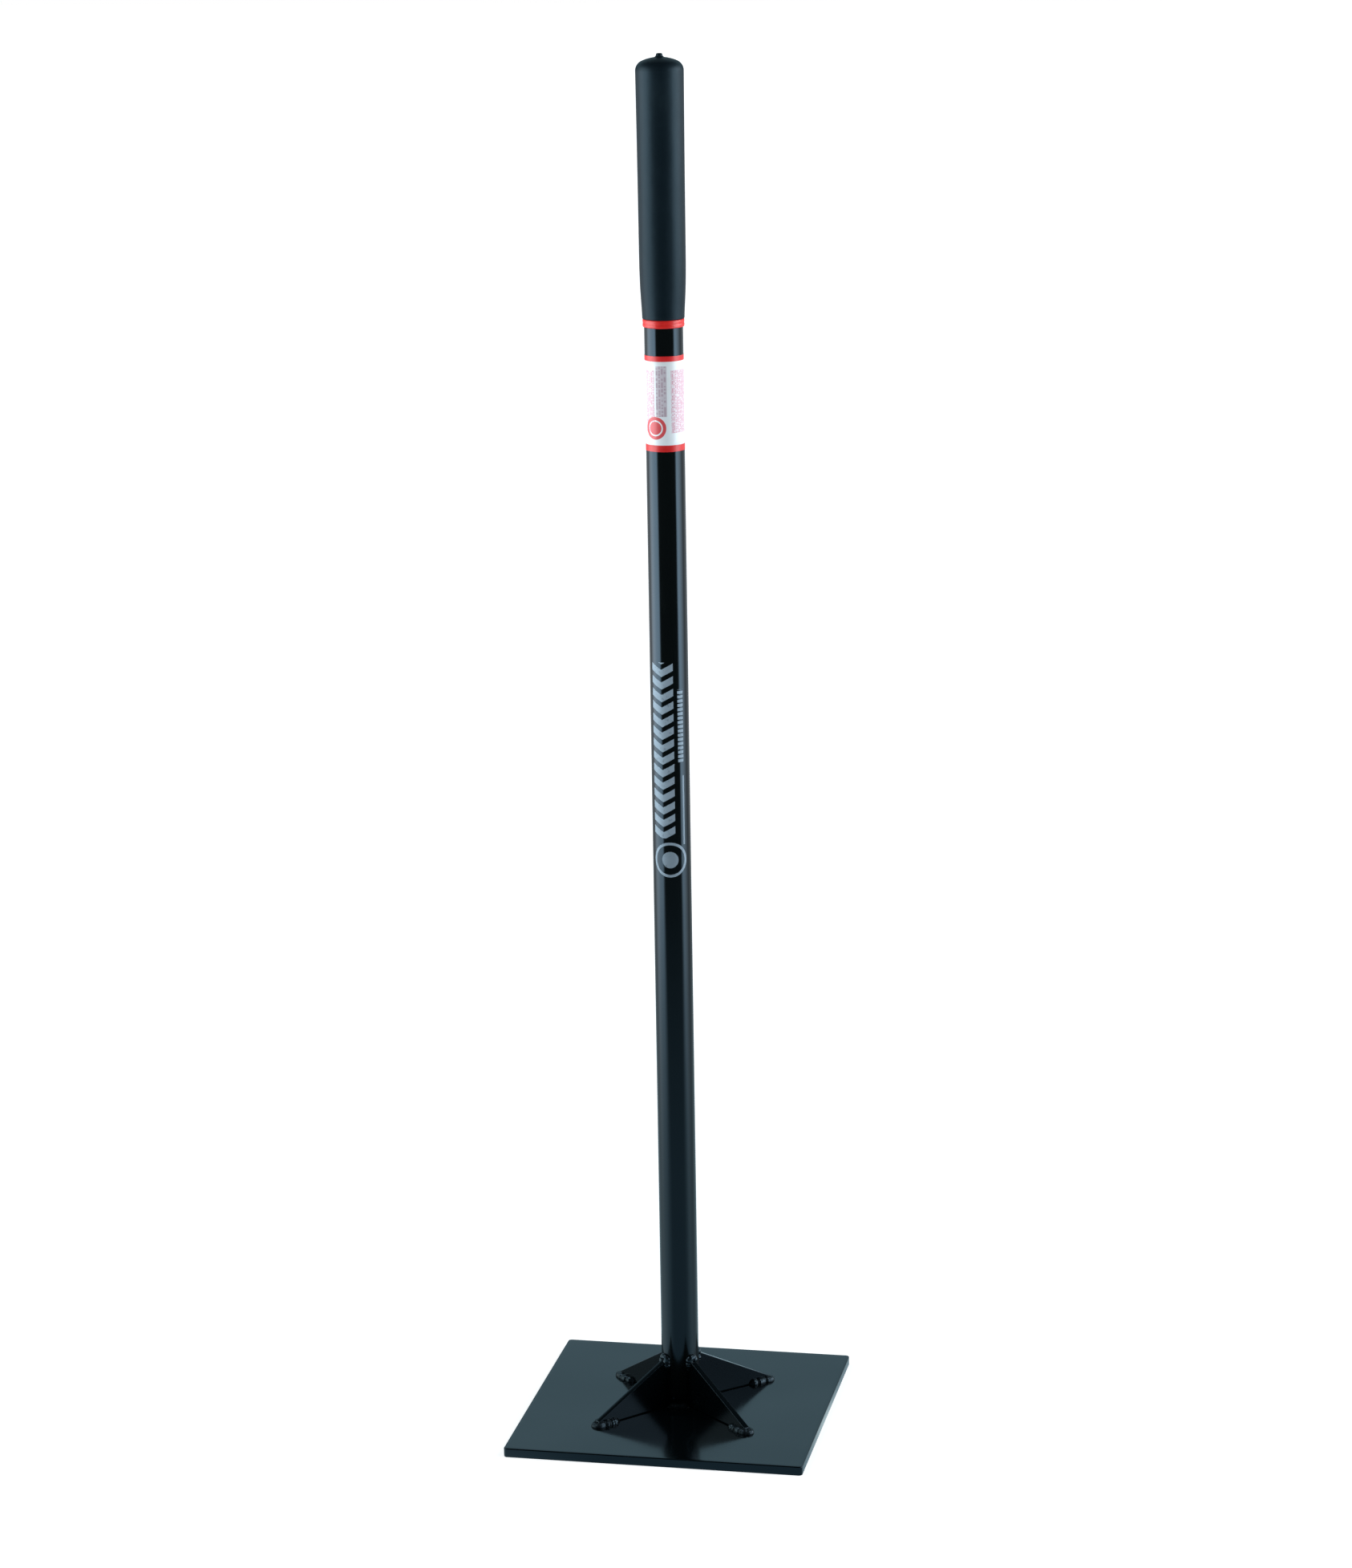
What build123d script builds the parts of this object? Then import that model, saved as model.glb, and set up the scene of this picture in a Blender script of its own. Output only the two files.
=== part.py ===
from build123d import *
from math import cos, radians, sin
import os

# Hand tamper: a square steel plate, a tubular shaft that stands on it, braced by
# four gussets, and a moulded slip-on grip. Millimetres, +Z up the shaft, origin at
# the centre of the plate's underside.

# ---- base plate
plate_side = 254.0
plate_thickness = 8.0
plate_corner_radius = 3.0
plate_edge_break = 0.8

# ---- shaft
tube_diameter = 31.75
tube_wall = 2.0
tube_top = 1144.0

# ---- gussets: direction around the shaft in degrees, and reach from its axis.
# They are set by hand, so they stray a few degrees from the plate's diagonals.
gusset_places = {
    "front_left": (228.6, 89.0),
    "front_right": (318.4, 92.0),
    "back_right": (42.9, 89.0),
    "back_left": (141.2, 79.5),
}
gusset_thickness = 5.0
gusset_height = 42.5
gusset_nose_height = 4.0
gusset_edge_break = 0.5

# ---- weld beads
tip_bead_leg = 6.0
tip_bead_height = 4.0
tip_bead_slope = 38.0
tip_bead_corner = 6.0
tip_bead_length = 25.0
top_bead_radius = 6.0
top_bead_length = 13.0
top_bead_rise = 4.0
foot_bead_leg = 5.0
foot_bead_sides = {"front": 270.0, "right": 0.0, "back": 90.0, "left": 180.0}

# ---- moulded grip: outer radius at each height above its lower lip
grip_bottom = 942.5
grip_lip_radius = 17.2
grip_lip_tangent = (0.03, 1)
grip_flare = [(18.55, 29.0), (18.9, 57.0), (19.1, 112.0)]
grip_top_radius = 19.5
grip_shoulder_start = 1139.3
grip_shoulder_radius = 10.8
grip_shoulder_turn = 66.0
grip_nipple_radius = 3.3
grip_nipple_top = 1154.3
grip_nipple_round = 0.9
grip_lip_round = 0.7

# ---- red collar ring under the grip
collar_bottom = 935.9
collar_radius = 17.0
collar_round = 0.9

# ---- wrapped label and its two red edge bands
film_thickness = 0.25
label_bottom = 841.0
label_top = 909.2
lower_band_bottom = 835.6
upper_band_top = 913.5

tube_radius = tube_diameter / 2
film_radius = tube_radius + film_thickness
gusset_top = plate_thickness + gusset_height
on_base = (Align.CENTER, Align.CENTER, Align.MIN)


def base_plate():
    """Square plate with slightly rounded corners and broken edges, lying on z = 0."""
    outline = RectangleRounded(plate_side, plate_side, plate_corner_radius)
    plate = extrude(outline, amount=plate_thickness)
    rims = plate.faces().sort_by(Axis.Z)[0].edges() + plate.faces().sort_by(Axis.Z)[-1].edges()
    return chamfer(rims, plate_edge_break)


def sleeve(inner_radius, outer_radius, bottom, top):
    """Round tube about the shaft's axis between two heights."""
    ring = Circle(outer_radius) - Circle(inner_radius)
    return extrude(Pos(0, 0, bottom) * ring, amount=top - bottom)


def gusset_blank(reach):
    """Triangular gusset in the X-Z plane, from inside the shaft out to its nose."""
    outline = Polyline(
        (0, plate_thickness),
        (reach, plate_thickness),
        (reach, plate_thickness + gusset_nose_height),
        (tube_radius, gusset_top),
        (0, gusset_top),
        close=True,
    )
    face = Plane.XZ * make_face(outline)
    return extrude(face, amount=gusset_thickness / 2, both=True)


def is_sloping(face):
    """True for a face that looks both outwards and up."""
    normal = face.normal_at()
    return normal.X > 0.1 and normal.Z > 0.1


def gusset(reach):
    """Gusset whose sloping edge is lightly broken, notched to sit against the shaft."""
    blank = gusset_blank(reach)
    slope = blank.faces().filter_by(is_sloping)[0]
    long_edges = slope.edges().filter_by(Axis.Y, reverse=True)
    plate = chamfer(long_edges, gusset_edge_break)
    return plate - Cylinder(tube_radius, 4 * gusset_height)


def tip_bead(reach):
    """Fillet bead on the plate, round the gusset's nose and along both its sides."""
    length = tip_bead_length + tip_bead_leg
    width = gusset_thickness + 2 * tip_bead_leg
    middle = reach + tip_bead_leg - length / 2
    footprint = Pos(middle, 0, plate_thickness) * RectangleRounded(length, width, tip_bead_corner)
    mound = extrude(footprint, amount=tip_bead_height, taper=tip_bead_slope)
    return mound - gusset_blank(reach)


def top_bead(reach):
    """Bead that wraps the gusset's upper corner where it meets the shaft."""
    height = top_bead_length + top_bead_rise
    base = Pos(tube_radius, 0, gusset_top - top_bead_length) * Circle(top_bead_radius)
    bead = extrude(base, amount=height)
    bead = chamfer(bead.edges().filter_by(GeomType.CIRCLE), top_bead_rise)
    core = Pos(0, 0, gusset_top) * Cylinder(tube_radius, 4 * top_bead_length)
    return bead - core - gusset_blank(reach)


def foot_bead_ring():
    """Whole fillet round the foot of the shaft, before the gussets divide it."""
    outline = Polyline(
        (tube_radius, plate_thickness),
        (tube_radius + foot_bead_leg, plate_thickness),
        (tube_radius, plate_thickness + foot_bead_leg),
        close=True,
    )
    return revolve(Plane.XZ * make_face(outline), Axis.Z)


def hand_grip():
    """Closed slip-on grip: flared lip, gently swelling barrel, domed end and nipple."""
    flare = [(radius, grip_bottom + height) for radius, height in grip_flare]
    lip_point = (grip_lip_radius, grip_bottom)
    shoulder_point = (grip_top_radius, grip_shoulder_start)
    barrel = Spline(lip_point, *flare, shoulder_point, tangents=[grip_lip_tangent, (0, 1)])
    shoulder = JernArc(barrel @ 1, (0, 1), grip_shoulder_radius, grip_shoulder_turn)
    crown_turn = 90 - grip_shoulder_turn
    crown_radius = (shoulder @ 1).X / sin(radians(crown_turn))
    crown = JernArc(shoulder @ 1, shoulder % 1, crown_radius, crown_turn)
    bore = Polyline(crown @ 1, (0, tube_top), (tube_radius, tube_top), (tube_radius, grip_bottom), lip_point)
    body = revolve(Plane.XZ * make_face([barrel, shoulder, crown, bore]), Axis.Z)
    lip_circles = body.edges().filter_by(GeomType.CIRCLE).group_by(Axis.Z)[0]
    body = fillet(lip_circles.sort_by(SortBy.RADIUS)[-1], grip_lip_round)
    nipple = Pos(0, 0, tube_top) * Cylinder(grip_nipple_radius, grip_nipple_top - tube_top, align=on_base)
    nipple = fillet(nipple.faces().sort_by(Axis.Z)[-1].edges(), grip_nipple_round)
    return body + nipple


def collar_ring():
    """Red ring that butts against the grip's lip, with rounded outer edges."""
    ring = sleeve(tube_radius, collar_radius, collar_bottom, grip_bottom)
    rims = [edge for edge in ring.edges().filter_by(GeomType.CIRCLE) if edge.radius > tube_radius + 0.1]
    return fillet(rims, collar_round)


def solid_towards(solids, direction):
    """The solid whose middle lies farthest along a direction given in degrees."""
    ray = Vector(cos(radians(direction)), sin(radians(direction)), 0)
    return max(solids, key=lambda solid: solid.center().dot(ray))


def save(shape, node):
    """Write one node and print its volume."""
    export_step(shape, f"parts/{node}.step")
    print(f"{node:28s} {shape.volume / 1000:9.2f} cm3")


os.makedirs("parts", exist_ok=True)

save(base_plate(), "base_plate")
save(sleeve(tube_radius - tube_wall, tube_radius, plate_thickness, tube_top), "handle_tube")
save(hand_grip(), "hand_grip")
save(collar_ring(), "collar_ring")
save(sleeve(tube_radius, film_radius, label_bottom, label_top), "label_wrap")
save(sleeve(tube_radius, film_radius, lower_band_bottom, label_bottom), "label_band_lower")
save(sleeve(tube_radius, film_radius, label_top, upper_band_top), "label_band_upper")

foot_ring = foot_bead_ring()
for place, (direction, reach) in gusset_places.items():
    turn = Rot(0, 0, direction)
    save(turn * gusset(reach), f"gusset_{place}")
    save(turn * tip_bead(reach), f"tip_weld_{place}")
    save(turn * top_bead(reach), f"top_weld_{place}")
    foot_ring = foot_ring - turn * gusset_blank(reach)

for side, direction in foot_bead_sides.items():
    save(solid_towards(foot_ring.solids(), direction), f"foot_weld_{side}")
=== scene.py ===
import math

import bpy
import numpy as np
from mathutils import Matrix, Vector


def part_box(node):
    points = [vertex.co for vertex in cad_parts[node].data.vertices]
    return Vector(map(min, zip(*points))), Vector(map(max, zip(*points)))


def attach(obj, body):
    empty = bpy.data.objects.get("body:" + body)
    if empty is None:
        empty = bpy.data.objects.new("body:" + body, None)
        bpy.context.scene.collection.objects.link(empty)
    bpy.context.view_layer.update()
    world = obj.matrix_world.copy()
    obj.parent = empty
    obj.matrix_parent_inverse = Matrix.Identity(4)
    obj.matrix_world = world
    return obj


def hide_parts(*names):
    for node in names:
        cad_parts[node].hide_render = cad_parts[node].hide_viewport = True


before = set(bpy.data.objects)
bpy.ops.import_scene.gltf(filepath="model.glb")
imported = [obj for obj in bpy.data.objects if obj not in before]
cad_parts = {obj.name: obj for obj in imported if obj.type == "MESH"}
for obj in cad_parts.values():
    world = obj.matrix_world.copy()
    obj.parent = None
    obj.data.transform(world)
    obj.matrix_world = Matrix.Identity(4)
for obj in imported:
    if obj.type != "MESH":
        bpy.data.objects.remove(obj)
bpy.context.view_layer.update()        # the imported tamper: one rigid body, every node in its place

mm = 0.001
fullTurn = 2 * math.pi


# ---- places read from the frame

plateLow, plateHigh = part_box("base_plate")
tubeLow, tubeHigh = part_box("handle_tube")
gripLow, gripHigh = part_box("hand_grip")
collarLow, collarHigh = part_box("collar_ring")
plateTop = plateHigh.z
tubeRadius = (tubeHigh.x - tubeLow.x) / 2
gussetNames = ("front_left", "front_right", "back_right", "back_left")


def nodePoints(node):
    # the corners of the node's mesh, one row of x, y and z for each
    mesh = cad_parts[node].data
    flat = np.empty(len(mesh.vertices) * 3, np.float32)
    mesh.vertices.foreach_get("co", flat)
    return flat.reshape(-1, 3).astype(float)


def gussetPlace(name):
    # the nose is the mean of the points within a millimetre of the farthest one from the shaft's axis;
    # its bearing and distance are the gusset's direction and reach
    points = nodePoints("gusset_" + name)
    spread = np.hypot(points[:, 0], points[:, 1])
    nose = points[spread > spread.max() - 1 * mm].mean(axis=0)
    bearing = math.atan2(nose[1], nose[0])
    return {"bearing": bearing, "reach": math.hypot(nose[0], nose[1]), "top": points[:, 2].max()}


gussetPlaces = {name: gussetPlace(name) for name in gussetNames}
print("places read from the frame")


# ---- surfaces

def meshFromGrid(name, grid, wrapRows=False, poles=(False, False), layers=None):
    # grid[i, j] is a point: i counts the rows, j goes round a row and closes on itself.
    # Neighbouring rows are joined by quads; a pole is the middle of an end row, fanned to that row.
    # layers holds one value for each grid point under each attribute's name
    rows, columns = grid.shape[:2]
    index = np.arange(rows * columns).reshape(rows, columns)
    lower = index if wrapRows else index[:-1]
    upper = np.roll(index, -1, axis=0) if wrapRows else index[1:]
    quads = np.stack([lower, np.roll(lower, -1, 1), np.roll(upper, -1, 1), upper], axis=-1).reshape(-1, 4)
    points = grid.reshape(-1, 3)
    values = {key: np.ravel(layer) for key, layer in (layers or {}).items()}
    fans = np.empty((0, 3), int)
    for atEnd in (0, 1):
        if poles[atEnd]:
            ring = index[-atEnd]
            pole = np.full(columns, len(points))
            points = np.vstack([points, grid[-atEnd].mean(axis=0)])
            values = {key: np.append(flat, flat[ring].mean()) for key, flat in values.items()}
            pair = (ring, np.roll(ring, -1)) if atEnd else (np.roll(ring, -1), ring)
            fans = np.vstack([fans, np.stack([*pair, pole], axis=-1)])
    if enclosedVolume(points, quads, fans) < 0:
        quads, fans = quads[:, ::-1], fans[:, ::-1]
    mesh = bpy.data.meshes.new(name)
    mesh.from_pydata(points.tolist(), [], quads.tolist() + fans.tolist())
    mesh.polygons.foreach_set("use_smooth", np.ones(len(quads) + len(fans), bool))
    for key, flat in values.items():
        mesh.attributes.new(key, "FLOAT", "POINT").data.foreach_set("value", flat.astype(np.float32))
    mesh.update()
    piece = bpy.data.objects.new(name, mesh)
    bpy.context.scene.collection.objects.link(piece)
    return piece


def enclosedVolume(points, quads, fans):
    # a sixth of the sum of each triangle's triple product; it is negative when the faces look inwards
    triangles = np.vstack([quads[:, :3], quads[:, [0, 2, 3]], fans])
    a, b, c = points[triangles[:, 0]], points[triangles[:, 1]], points[triangles[:, 2]]
    return np.einsum("ij,ij->", a, np.cross(b, c)) / 6


def lathe(name, radius, height, segments, wrapRows=False, poles=(False, False)):
    # a point at angle a on the row with radius r and height h is (r cos a, r sin a, h);
    # radius may also be a grid of rows by segments where the outline changes round the axis
    angle = np.arange(segments) / segments * fullTurn
    radius = np.asarray(radius)
    radius = radius[:, None] if radius.ndim == 1 else radius
    grid = np.empty((len(height), segments, 3))
    grid[..., 0] = radius * np.cos(angle)
    grid[..., 1] = radius * np.sin(angle)
    grid[..., 2] = np.asarray(height)[:, None]
    return meshFromGrid(name, grid, wrapRows, poles)


def roundedPolygon(corners, radius, arcSteps, edgeSteps):
    # every corner of a convex outline, taken anticlockwise, becomes an arc of the given radius, and evenly
    # spaced points follow on the straight edge after it; returns the points and their outward normals
    corners = np.asarray(corners, float)
    before = np.roll(corners, 1, axis=0) - corners
    after = np.roll(corners, -1, axis=0) - corners
    before /= np.linalg.norm(before, axis=1)[:, None]
    after /= np.linalg.norm(after, axis=1)[:, None]
    halfAngle = np.arccos(np.clip((before * after).sum(axis=1), -1, 1)) / 2
    middle = (before + after) / np.linalg.norm(before + after, axis=1)[:, None]
    centre = corners + middle * (radius / np.sin(halfAngle))[:, None]
    startAngle = np.arctan2(before[:, 0], -before[:, 1])
    sweep = math.pi - 2 * halfAngle
    angle = startAngle[:, None] + sweep[:, None] * np.linspace(0, 1, arcSteps)
    arcNormals = np.stack([np.cos(angle), np.sin(angle)], axis=-1)
    arcs = centre[:, None] + radius * arcNormals
    share = np.linspace(0, 1, edgeSteps + 2)[1:-1, None]
    straights = arcs[:, -1:] * (1 - share) + np.roll(arcs, -1, axis=0)[:, :1] * share
    straightNormals = np.repeat(arcNormals[:, -1:], edgeSteps, axis=1)
    outline = np.concatenate([arcs, straights], axis=1).reshape(-1, 2)
    normals = np.concatenate([arcNormals, straightNormals], axis=1).reshape(-1, 2)
    return outline, normals


def slab(name, outline, normals, low, high, edgeRadius, axes, edgeRows=7):
    # a flat plate: rings of the outline grow from the middle of the lower face, roll round the lower edge,
    # climb the side and shrink over the upper face. At angle t the rolled edge is r(1 - sin t) in from the
    # side and r(1 - cos t) above the face; axes holds the directions of the outline's two coordinates and
    # of the thickness
    turn = np.linspace(0, math.pi / 2, edgeRows)
    rolledIn = edgeRadius * (1 - np.sin(turn))
    rolledUp = edgeRadius * (1 - np.cos(turn))
    inset = np.concatenate([rolledIn, rolledIn[::-1]])
    height = np.concatenate([low + rolledUp, high - rolledUp[::-1]])
    rim = outline[None] - normals[None] * inset[:, None, None]
    middle = rim[0].mean(axis=0)
    shrink = np.array([0.05, 0.35, 0.7, 0.9, 0.975])     # the face's rings, as shares of its full size
    face = middle + (rim[0] - middle) * shrink[:, None, None]
    flat = np.concatenate([face, rim, face[::-1]])
    level = np.concatenate([np.full(len(shrink), low), height, np.full(len(shrink), high)])
    grid = flat[..., :1] * axes[0] + flat[..., 1:] * axes[1] + level[:, None, None] * axes[2]
    onFace = np.zeros(len(shrink))
    onEdge = np.concatenate([onFace, np.sin(turn * 2), np.sin(turn * 2), onFace])
    edge = np.repeat(onEdge[:, None], len(outline), axis=1)
    return meshFromGrid(name, grid, poles=(True, True), layers={"edge": edge})


def wander(count, knots, seed):
    # smooth random values between -1 and 1: seeded knots joined by cosine steps
    values = np.random.default_rng(seed).uniform(-1, 1, knots + 1)
    place = np.linspace(0, knots, count)
    step = np.minimum(place.astype(int), knots - 1)
    blend = (1 - np.cos((place - step) * math.pi)) / 2
    return values[step] * (1 - blend) + values[step + 1] * blend


beadHabit = {                            # what all the weld beads share
    "shakeKnots": 9, "swayKnots": 7, "fewestRows": 40, "lumpShake": 0.3, "lumpLean": 0.5, "ribShake": 0.4,
    "noseReach": 1.6,
}


def bead(name, path, up, look, seed):
    # a circle carried along the path, in the plane of up and the direction across the path. Its radius is
    # made of slow swells, lumps and fine ribs. Lumps and ribs follow the size of a sine whose phase leans
    # back round the circle like the ripples of a weld. The radius dips at the path's middle, and closes at
    # both ends by a quarter ellipse
    habit = beadHabit
    steps = np.linalg.norm(np.diff(path, axis=0), axis=1)
    travelled = np.concatenate([[0], np.cumsum(steps)])
    even = np.linspace(0, travelled[-1], max(habit["fewestRows"], int(travelled[-1] / look["step"])))
    line = np.stack([np.interp(even, travelled, path[:, k]) for k in range(3)], axis=-1)
    along = np.gradient(line, axis=0)
    along /= np.linalg.norm(along, axis=1)[:, None]
    across = np.cross(along, up)
    across /= np.linalg.norm(across, axis=1)[:, None]
    rise = np.cross(across, along)
    angle = np.arange(look["segments"]) / look["segments"] * fullTurn
    shake = wander(len(even), habit["shakeKnots"], seed)[:, None]
    lean = look["lean"] * np.cos(angle)
    lumpPhase = even[:, None] / look["lumpPitch"] + habit["lumpShake"] * shake + lean * habit["lumpLean"]
    ribPhase = even[:, None] / look["ribPitch"] + habit["ribShake"] * shake + lean
    lumps = np.abs(np.sin(math.pi * lumpPhase))
    ribs = np.abs(np.sin(math.pi * ribPhase))
    swell = 1 + look["swell"] * wander(len(even), habit["swayKnots"], seed + 1)[:, None]
    middle = np.exp(-((even - even[-1] / 2) / look["dipLength"]) ** 2)[:, None]
    nearEnd = np.minimum(even, even[-1] - even) / look["endLength"]
    close = np.sqrt(1 - (1 - np.clip(nearEnd, 0, 1)) ** 2)[:, None]
    uneven = 1 - look["lump"] * (1 - lumps) - look["rib"] * (1 - ribs)
    radius = look["radius"] * uneven * swell * close * (1 - look["dip"] * middle)
    line = line + look["stray"] * wander(len(even), habit["swayKnots"], seed + 2)[:, None] * rise
    grid = (line[:, None] + (radius * np.cos(angle))[..., None] * across[:, None]
            + (radius * np.sin(angle))[..., None] * rise[:, None])
    noseLength = look["dipLength"] * habit["noseReach"]
    nose = np.exp(-((even - even[-1] / 2) / noseLength) ** 2)[:, None] * (look["dip"] > 0)
    crest = (lumps * 0.5 + ribs * 0.5) * (1 - nose)
    return meshFromGrid(name, grid[1:-1], poles=(True, True), layers={"crest": crest[1:-1]})


def keep(piece, material, slotName, *nodes):
    # the piece takes a finish, moves with the one body and stands for its CAD nodes
    piece.data.materials.append(material)
    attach(piece, "root")
    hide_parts(*nodes)
    return piece


# ---- shader sums

class Signal:                            # one output socket, ready for sums
    def __init__(self, finish, socket):
        self.finish, self.socket = finish, socket

    def math(self, operation, *others):
        return self.finish.node("ShaderNodeMath", {"operation": operation}, dict(enumerate((self, *others))))

    def swapped(self, operation, other):
        return self.finish.node("ShaderNodeMath", {"operation": operation}, {0: other, 1: self})

    def __add__(self, other):
        return self.math("ADD", other)

    def __sub__(self, other):
        return self.math("SUBTRACT", other)

    def __rsub__(self, other):
        return self.swapped("SUBTRACT", other)

    def __mul__(self, other):
        return self.math("MULTIPLY", other)

    def __truediv__(self, other):
        return self.math("DIVIDE", other)

    def __rtruediv__(self, other):
        return self.swapped("DIVIDE", other)

    __radd__, __rmul__ = __add__, __mul__

    def size(self):
        return self.math("ABSOLUTE")

    def fraction(self):
        return self.math("FRACT")

    def most(self, other):
        return self.math("MAXIMUM", other)

    def under(self, limit, soft):
        # 1 where the value is below the limit, fading to 0 over the soft margin on either side of it
        return self.fade(limit + soft, limit - soft)

    def within(self, middle, half, soft):
        # 1 where the value is closer than half to middle
        return (self - middle).size().under(half, soft)

    def inRun(self, run, soft):
        # 1 between the run's two ends
        low, high = run
        return self.within((low + high) / 2, (high - low) / 2, soft)

    def fade(self, zeroAt, oneAt):
        return self.finish.node("ShaderNodeMapRange", {"interpolation_type": "SMOOTHSTEP"},
                                {"Value": self, "From Min": zeroAt, "From Max": oneAt})


class Finish:                            # one material: its nodes, made through a single method
    def __init__(self, name):
        self.material = bpy.data.materials.new(name)
        self.material.use_nodes = True
        self.tree = self.material.node_tree
        self.tree.nodes.clear()
        self.place = self.node("ShaderNodeTexCoord", out="Object")

    def node(self, kind, settings=None, inputs=None, out=0):
        made = self.tree.nodes.new(kind)
        for key, value in (settings or {}).items():
            setattr(made, key, value)
        for key, value in (inputs or {}).items():
            if isinstance(value, Signal):
                self.tree.links.new(value.socket, made.inputs[key])
            else:
                made.inputs[key].default_value = value
        return None if out is None else Signal(self, made.outputs[out])

    def parts(self):
        made = self.node("ShaderNodeSeparateXYZ", inputs={0: self.place})
        outputs = made.socket.node.outputs
        return [Signal(self, outputs[k]) for k in range(3)]

    def layer(self, name):
        # a value that the mesh carries at its points
        return self.node("ShaderNodeAttribute", {"attribute_name": name}, out="Fac")

    def stretched(self, x, y, z):
        # the object's own coordinates, scaled by a different amount along each axis
        return self.node("ShaderNodeMapping", inputs={"Vector": self.place, "Scale": (x, y, z)})

    def noise(self, scale, detail=3.0, roughness=0.5, at=None):
        return self.node("ShaderNodeTexNoise", inputs={
            "Vector": at or self.place, "Scale": scale, "Detail": detail, "Roughness": roughness})

    def specks(self, scale, share):
        # round spots: 1 inside the cells' middles, 0 outside
        cells = self.node("ShaderNodeTexVoronoi", inputs={"Vector": self.place, "Scale": scale})
        return cells.fade(share, share * 0.6)

    def mix(self, amount, first, second):
        return self.node("ShaderNodeMix", {"data_type": "RGBA"}, {0: amount, 6: first, 7: second}, out=2)

    def bump(self, height, distance, normal=None):
        inputs = {"Height": height, "Distance": distance, "Strength": 1.0}
        if normal:
            inputs["Normal"] = normal
        return self.node("ShaderNodeBump", inputs=inputs)

    def close(self, base, roughness, normal, constants):
        shader = self.node("ShaderNodeBsdfPrincipled", inputs={
            "Base Color": base, "Roughness": roughness, "Normal": normal, **constants})
        self.node("ShaderNodeOutputMaterial", inputs={"Surface": shader}, out=None)
        return self.material


def colour(red, green, blue):
    return (red, green, blue, 1.0)


# ---- finishes

coolTint = colour(0.53, 0.79, 1.0)       # the black paint's cast in its reflections

paintLook = {
    "base": colour(0.0012, 0.0024, 0.0030), "worn": colour(0.0045, 0.0080, 0.0095),
    "dust": colour(0.060, 0.080, 0.088), "dustAmount": 0.02,
    "steel": colour(0.12, 0.12, 0.12), "edgeRub": 0.10,
    "cloudScale": 14, "scuffScale": 60, "dustScale": 900, "rubScale": 170,
    "waveScale": 7, "waveHeight": 1.6 * mm, "peelScale": 700, "peelHeight": 0.012 * mm,
    "roughness": 0.10, "cloudRoughness": 0.07, "specular": 0.42,
}


def platePaint(name, look):
    # gloss black over mill-rolled steel: a slow wave of the surface, orange peel, faint clouds of handling
    # and dust, and grey steel that shows in specks where an edge has been rubbed
    finish = Finish(name)
    clouds = finish.noise(look["cloudScale"], 4, 0.55)
    scuffs = finish.noise(look["scuffScale"], 5, 0.6, finish.stretched(1, 0.18, 1)).fade(0.60, 0.74)
    settled = finish.noise(look["dustScale"], 2, 0.6).fade(0.62, 0.75) * clouds.fade(0.42, 0.66)
    dust = settled * look["dustAmount"]
    rubbed = finish.layer("edge") * finish.noise(look["rubScale"], 5, 0.7).fade(0.55, 0.68) * look["edgeRub"]
    base = finish.mix(scuffs * 0.35, look["base"], look["worn"])
    base = finish.mix(dust, base, look["dust"])
    base = finish.mix(rubbed, base, look["steel"])
    roughness = clouds * look["cloudRoughness"] + scuffs * 0.05 + dust * 2 + rubbed * 0.5 + look["roughness"]
    wave = finish.bump(finish.noise(look["waveScale"], 1, 0.4), look["waveHeight"])
    peel = finish.bump(finish.noise(look["peelScale"], 2, 0.5), look["peelHeight"], normal=wave)
    return finish.close(base, roughness, peel,
                        {"Specular Tint": coolTint, "IOR": 1.5, "Specular IOR Level": look["specular"]})


tubeLook = {
    "base": colour(0.0022, 0.0028, 0.0026), "worn": colour(0.010, 0.012, 0.012),
    "print": colour(0.30, 0.36, 0.42), "printRoughness": 0.42, "printHeight": 0.04 * mm,
    "smudgeScale": 18, "drawStretch": (900, 900, 6), "drawHeight": 0.006 * mm, "scuffScale": 45,
    "flakeScale": 420, "flakeDepth": 0.3, "waveScale": 22, "waveHeight": 0.2 * mm,
    "roughness": 0.085, "cloudRoughness": 0.05, "specular": 0.38, "softEdge": 0.15 * mm,
    "bigRun": (512 * mm, 661 * mm), "bigMiddle": -3.5 * mm, "bigHalf": 9.7 * mm,
    "chevronPitch": 10.6 * mm, "chevronSlope": 0.55, "chevronHalf": 0.29,
    "smallRun": (576 * mm, 638 * mm), "smallMiddle": 12.3 * mm, "smallHalf": 2.6 * mm,
    "dashPitch": 3.6 * mm, "dashHalf": 0.33,
    "lineRun": (506 * mm, 565 * mm), "lineMiddle": 14.3 * mm, "lineHalf": 0.8 * mm, "lineInk": 0.8,
    "badgeHeight": 493.5 * mm, "badgeMiddle": 1.6 * mm, "badgeRadius": 15.0 * mm, "ringInset": 1.2 * mm,
    "ringHalf": 1.1 * mm, "dotRadius": 7.0 * mm, "dotInk": 0.85,
}


def roundTheShaft(finish, radius):
    # the arc length from the side that faces -Y, positive towards +X, and the height
    x, y, z = finish.parts()
    return x.math("ARCTAN2", y * -1) * radius, z


def reachFrom(arc, height, look):
    # the distance from the badge's middle, over the surface: the root of the sum of the squares
    across, upwards = arc - look["badgeMiddle"], height - look["badgeHeight"]
    return (across * across + upwards * upwards).math("SQRT")


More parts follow.
